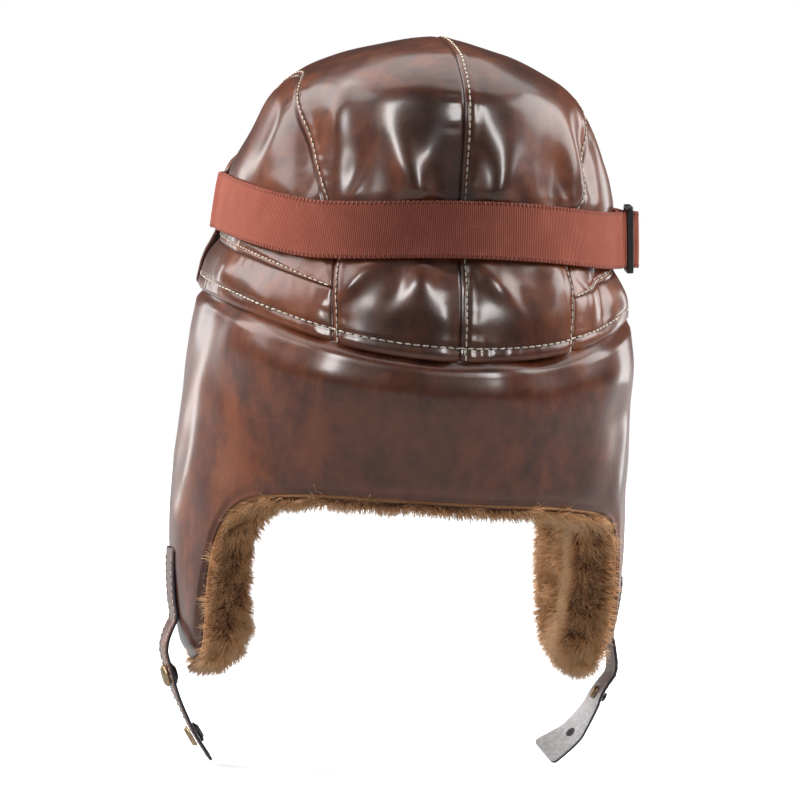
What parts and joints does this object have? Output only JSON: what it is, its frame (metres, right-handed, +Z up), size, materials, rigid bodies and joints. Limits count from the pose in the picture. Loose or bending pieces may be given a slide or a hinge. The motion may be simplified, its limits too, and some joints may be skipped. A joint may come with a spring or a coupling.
{
  "type": "leather flying helmet",
  "caption": "Soft leather flying helmet: panelled crown, neck skirt with ear flaps, fur lining, elastic goggle strap with slider, snap chin straps.",
  "frame": {"origin": "top of the hollow, where the crown rests on the top of the head", "axes": "+Z up, the wearer faces -Y, +X towards the wearer's left ear"},
  "size_m": [0.21, 0.2324, 0.3323],
  "materials": {
    "helmet_leather": "glossy antiqued brown leather, mottled, fine grain",
    "fur_pile": "tan curled fur pile",
    "rust_elastic": "ribbed woven elastic, rust red",
    "slider_black": "black moulded slider, satin",
    "chin_leather": "brown leather strap with dark painted edges and pale back",
    "snap_bronze": "antiqued bronze snap cap",
    "snap_dark": "dark oxidised snap part"
  },
  "bodies": {
    "root": {"crown_centre_left": "helmet_leather", "crown_centre_right": "helmet_leather", "crown_side_upper_left": "helmet_leather", "crown_side_upper_right": "helmet_leather", "crown_side_lower_left": "helmet_leather", "crown_side_lower_right": "helmet_leather", "brow_flap": "helmet_leather", "neck_skirt": "helmet_leather", "fur_lining": "fur_pile", "goggle_strap": "rust_elastic", "goggle_strap_end": "rust_elastic", "strap_slider": "slider_black", "chin_strap_left": "chin_leather", "chin_strap_right": "chin_leather", "snap_cap_upper": "snap_bronze", "snap_socket_upper": "snap_dark", "snap_cap_lower": "snap_bronze", "snap_socket_lower": "snap_dark", "snap_stud": "snap_dark", "snap_rivet": "snap_bronze", "eyelet_outer": "snap_dark"}
  },
  "joints": []
}
